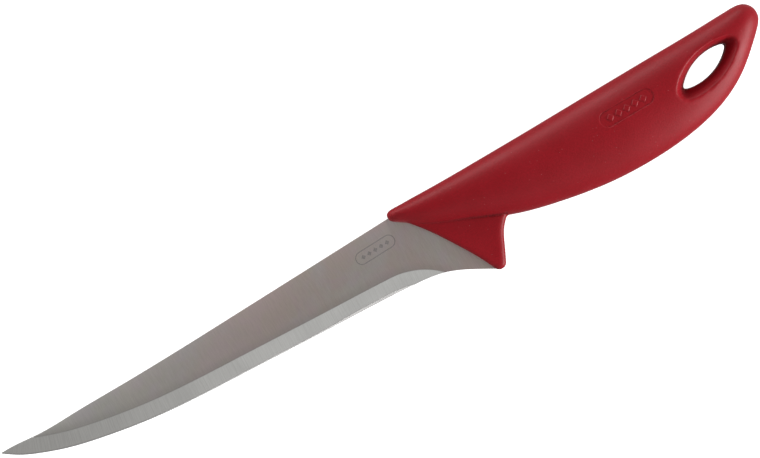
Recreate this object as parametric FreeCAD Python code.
import FreeCAD, Part
import math
import os
from FreeCAD import Vector

# A boning knife with a moulded handle, lying on its cheek. All sizes are in millimetres.
#
# Outlines are drawn with the nose of the handle at x = 0. +X runs back to the butt and -X to
# the tip, +Y points to the spine, and Z = 0 is the middle plane of the blade. At the end the
# whole knife is moved so that its box stands on z = 0 with the origin under its middle.

# ---------------------------------------------------------------- driving dimensions

# steel
tang_thickness = 2.0         # stock, as it comes from the press
flat_thickness = 1.8         # the visible flats are ground 0.1 mm finer on each side
spine_y = -0.8               # the straight part of the spine
spine_bend_x = -76.0         # in front of this the spine rises to the tip
grind_width = 5.57           # main bevel, measured square to the cutting edge
grind_edge = 0.40            # thickness that the main bevel would leave at the edge
grind_run_out = (-10.0, 6.8)     # the wheel leaves the steel between these two x
hone_width = 0.95            # the bright sharpened strip along the edge
hone_edge = 0.08             # thickness left at the very edge
hone_run_out = (-12.0, -3.2)
wheel_overrun = 6.0          # how far the grinding passes go on past the tip
grinding_stations = 36       # sections of a ground face between the tip and the heel
key_holes = ((31.0, -11.5), (54.0, -14.0), (77.0, -14.5))
key_hole_radius = 3.2

# handle
shell_wall = 2.7             # soft grip over the rigid core
stations_without_core = 3    # at the nose and again at the butt
section_points = 20
cheek_fullness = 0.80        # under 1 flattens the cheeks of the oval
lean = 0.14                  # the handle is fuller towards the spine
guard_thickness = 6.6
guard_back_round = 1.9
guard_front_round = 0.7

# hanging hole: a lens with rounded ends, at the bottom of a dish in each cheek
hole_middle = (116.2, -13.95)
hole_turn = 15.0             # degrees from the X axis
lens_length = 18.0           # tip to tip of the lens before its ends are rounded
lens_width = 5.4
hole_round = 1.2
dish_round = 4.05            # the same lens, rounded this much, is the lip of the dish
dish_offset = (0.43, -1.22)  # the lip sits a little lower on the cheek than the hole
dish_bottom = 2.6            # height of the foot of the dish above the middle plane
dish_top = 9.4
core_hole_round = 3.9
cut_reach = 20.0             # cutters reach this far from the middle plane

# the cutting edge, from the tip back to the heel, and on down the steel of the guard
edge_points = (
    (-150.3, 1.15), (-146.0, -2.0), (-139.5, -5.33), (-130.0, -9.0), (-118.0, -12.2),
    (-103.0, -15.22), (-88.0, -17.2), (-64.0, -19.27), (-34.0, -21.72), (-4.0, -24.22),
    (8.0, -26.63), (14.5, -29.83), (21.9, -34.3),
)

# the spine in front of the bend, ending at the tip
spine_points = (
    (spine_bend_x, spine_y), (-104.0, -0.42), (-124.0, 0.08), (-137.0, 0.45), (-143.0, 1.2),
    (-147.0, 1.58), (-150.1, 1.66),
)
tip_point = (-150.5, 1.5)

# the steel inside the handle: round the guard, along the underside of the tang and back
tang_points = (
    (21.9, -34.3), (24.0, -32.8), (28.4, -24.9), (36.0, -18.2), (50.0, -20.2), (88.0, -20.6),
    (96.5, -16.5), (96.5, -10.5), (91.0, -7.0), (12.0, -4.6), (7.0, -3.6), (6.0, spine_y),
)

# handle stations: x, upper edge, lower edge, half thickness
stations = (
    (0.5, 0.60, -2.38, 2.5),
    (1.6, 1.10, -3.28, 3.7),
    (4.5, 1.08, -5.35, 5.1),
    (9.0, 0.84, -8.85, 6.1),
    (15.0, 0.51, -12.15, 6.8),
    (25.0, 0.04, -16.7, 7.7),
    (36.0, -0.31, -21.75, 8.7),
    (52.0, -0.75, -26.67, 9.8),
    (68.0, -1.08, -29.92, 10.4),
    (88.0, -1.49, -31.36, 10.5),
    (104.0, -1.87, -30.28, 10.0),
    (116.0, -2.17, -27.36, 9.4),
    (126.0, -2.26, -22.45, 8.7),
    (133.0, -2.28, -17.10, 7.9),
    (137.0, -2.70, -13.60, 6.7),
    (139.45, -4.35, -11.10, 4.6),
    (140.4, -6.15, -9.45, 2.5),
)
nose_point = (0.0, -0.9)
butt_point = (140.7, -7.8)

# guard: a thin web that stands down from the front of the grip
guard_front = ((5.0, -5.65), (8.5, -10.3), (14.7, -20.3), (20.1, -30.5), (21.3, -33.4))
guard_toe = (23.9, -35.3)
guard_back = ((25.5, -34.5), (28.0, -29.8), (31.4, -23.9), (34.6, -20.7))
guard_root = ((33.0, -15.0), (12.0, -6.0))


# ---------------------------------------------------------------- small helpers

def flat(point, z=0.0):
    return Vector(point[0], point[1], z)


def spline(points):
    curve = Part.BSplineCurve()
    curve.interpolate([flat(point) for point in points])
    return curve


def line(start, end):
    return Part.LineSegment(flat(start), flat(end)).toShape()


def arc(start, middle, end):
    return Part.Arc(flat(start), flat(middle), flat(end)).toShape()


def plate(edges, thickness):
    """A plate of the given outline, centred on the middle plane."""
    face = Part.Face(Part.Wire(edges))
    face.translate(Vector(0, 0, -thickness / 2))
    return face.extrude(Vector(0, 0, thickness))


def mirrored(shape):
    """The same shape on the other side of the middle plane."""
    return shape.mirror(Vector(0, 0, 0), Vector(0, 0, 1))


# ---------------------------------------------------------------- steel

def steel_outline():
    inside = [line(a, b) for a, b in zip(tang_points, tang_points[1:])]
    return [
        line(tang_points[-1], spine_points[0]),
        spline(spine_points).toShape(),
        arc(spine_points[-1], tip_point, edge_points[0]),
        spline(edge_points).toShape(),
    ] + inside


def steel_plate(thickness):
    """Blade and tang in one flat piece, with the key holes for the handle core."""
    steel = plate(steel_outline(), thickness)
    for x, y in key_holes:
        foot = Vector(x, y, -cut_reach)
        steel = steel.cut(Part.makeCylinder(key_hole_radius, 2 * cut_reach, foot))
    return steel


def ground_face_cutter(width, inner, outer, run_out):
    """Everything above one ground face.

    The face rises from half the outer thickness at the cutting edge to half the inner
    thickness at the given width. Near the heel the wheel leaves the steel, so the face
    lifts by a parabola between the two x of run_out. It is drawn past both its borders,
    by the factors in across, so that it cuts cleanly.
    """
    across = (-0.8, 0.0, 1.0, 1.8)
    edge = spline(edge_points)
    rise = (inner - outer) / 2
    rows = []
    for k in range(-1, grinding_stations + 1):
        share = max(k, 0) / grinding_stations
        at = edge.FirstParameter + (edge.LastParameter - edge.FirstParameter) * share
        along = edge.tangent(at)[0]
        foot = edge.value(at)
        if k < 0:
            foot = foot - along * wheel_overrun
        inward = Vector(-along.y, along.x, 0)
        left = max(foot.x - run_out[0], 0.0) / (run_out[1] - run_out[0])
        lift = rise * left ** 2
        if lift > 3 * rise:
            break
        rows.append([foot + inward * (width * s) + Vector(0, 0, outer / 2 + rise * s + lift)
                     for s in across])
    surface = Part.BSplineSurface()
    surface.interpolate(rows)
    return surface.toShape().extrude(Vector(0, 0, 2 * tang_thickness))


def make_blade(stock, handle_body):
    """The ground blade, with the unground stock left standing inside the handle."""
    hone_inner = grind_edge + (flat_thickness - grind_edge) * hone_width / grind_width
    blade = steel_plate(flat_thickness)
    for cutter in (
        ground_face_cutter(grind_width, flat_thickness, grind_edge, grind_run_out),
        ground_face_cutter(hone_width, hone_inner, hone_edge, hone_run_out),
    ):
        blade = blade.cut(cutter).cut(mirrored(cutter))
    return blade.fuse(stock.common(handle_body)).removeSplitter()


# ---------------------------------------------------------------- handle

def oval(station, inset=0.0):
    """One closed section of the handle, square to X, with the soft shell's inset if asked."""
    x, top, bottom, half = station
    middle = (top + bottom) / 2
    rise = (top - bottom) / 2 - inset
    points = []
    for k in range(section_points):
        turn = 2 * math.pi * k / section_points
        side = math.copysign(abs(math.sin(turn)) ** cheek_fullness, math.sin(turn))
        points.append(Vector(x, middle + rise * math.cos(turn),
                             (half - inset) * side * (1 + lean * math.cos(turn))))
    curve = Part.BSplineCurve()
    curve.interpolate(Points=points, PeriodicFlag=True)
    return Part.Wire(curve.toShape())


def grip_body():
    nose = Part.Vertex(flat(nose_point))
    butt = Part.Vertex(flat(butt_point))
    return Part.makeLoft([nose] + [oval(station) for station in stations] + [butt], True, False)


def guard_web():
    """The web, with its free rims rounded: the back one fully, the front one a little."""
    web = plate([
        spline(guard_front).toShape(),
        arc(guard_front[-1], guard_toe, guard_back[0]),
        spline(guard_back).toShape(),
        line(guard_back[-1], guard_root[0]),
        line(guard_root[0], guard_root[1]),
        line(guard_root[1], guard_front[0]),
    ], guard_thickness)
    toe_x, toe_y = guard_toe
    back_rim = []
    front_rim = []
    for edge in web.Edges:
        middle = edge.CenterOfMass
        on_face = abs(abs(middle.z) - guard_thickness / 2) < 0.01
        if on_face and middle.x > toe_x and middle.y < guard_back[-1][1]:
            back_rim.append(edge)
        elif on_face and middle.x < toe_x and middle.y < guard_front[1][1]:
            front_rim.append(edge)
    front_rim = [edge for edge in front_rim if edge.Length > guard_thickness]
    return web.makeFillet(guard_back_round, back_rim).makeFillet(guard_front_round, front_rim)


def lens(rounding, z):
    """The outline of the hanging hole: two shallow arcs with round ends."""
    half_long = lens_length / 2
    half_wide = lens_width / 2
    radius = (half_long ** 2 + half_wide ** 2) / (2 * half_wide)
    drop = radius - half_wide
    spread = math.asin(half_long / radius)
    reach = radius + rounding
    side = reach * math.sin(spread)
    rise = reach * math.cos(spread) - drop
    wire = Part.Wire([
        arc((-side, rise), (0, reach - drop), (side, rise)),
        arc((side, rise), (half_long + rounding, 0), (side, -rise)),
        arc((side, -rise), (0, drop - reach), (-side, -rise)),
        arc((-side, -rise), (-half_long - rounding, 0), (-side, rise)),
    ])
    wire.rotate(Vector(0, 0, 0), Vector(0, 0, 1), hole_turn)
    wire.translate(flat(hole_middle, z))
    return wire


def hole_cutter(rounding):
    return Part.Face(lens(rounding, -cut_reach)).extrude(Vector(0, 0, 2 * cut_reach))


def dish_cutter():
    """A sloping wall from the hole at the foot of the dish to its lip, and on past the cheek."""
    slope = (dish_round - hole_round) / (dish_top - dish_bottom)
    overshoot = 3.0
    foot = lens(hole_round, dish_bottom)
    mouth = lens(dish_round + slope * overshoot, dish_top + overshoot)
    mouth.translate(flat(dish_offset))
    return Part.makeLoft([foot, mouth], True, True)


def handle_outside():
    """The whole moulded handle, with its guard and its dished hanging hole."""
    body = grip_body().fuse(guard_web())
    dish = dish_cutter()
    return body.cut(hole_cutter(hole_round)).cut(dish).cut(mirrored(dish))


def handle_core(stock):
    """The rigid core that holds the tang. It fills the holes in the tang."""
    inner = stations[stations_without_core:-stations_without_core]
    core = Part.makeLoft([oval(station, shell_wall) for station in inner], True, False)
    return core.cut(hole_cutter(core_hole_round)).cut(stock)


# ---------------------------------------------------------------- assembly

def main():
    outside = handle_outside()
    stock = steel_plate(tang_thickness)
    core = handle_core(stock)
    nodes = {
        "blade": make_blade(stock, outside),
        "handle_core": core,
        "soft_grip": outside.cut(stock).cut(core),
    }
    box = Part.makeCompound(list(nodes.values())).optimalBoundingBox(False)
    shift = Vector(-(box.XMin + box.XMax) / 2, -(box.YMin + box.YMax) / 2, -box.ZMin)
    print("drawn box", box)
    print("moved by", shift)
    os.makedirs("parts", exist_ok=True)
    for name, shape in nodes.items():
        shape.translate(shift)
        print(name, "solids", len(shape.Solids), "valid", shape.isValid(), "volume", round(shape.Volume))
        shape.exportStep("parts/" + name + ".step")


main()
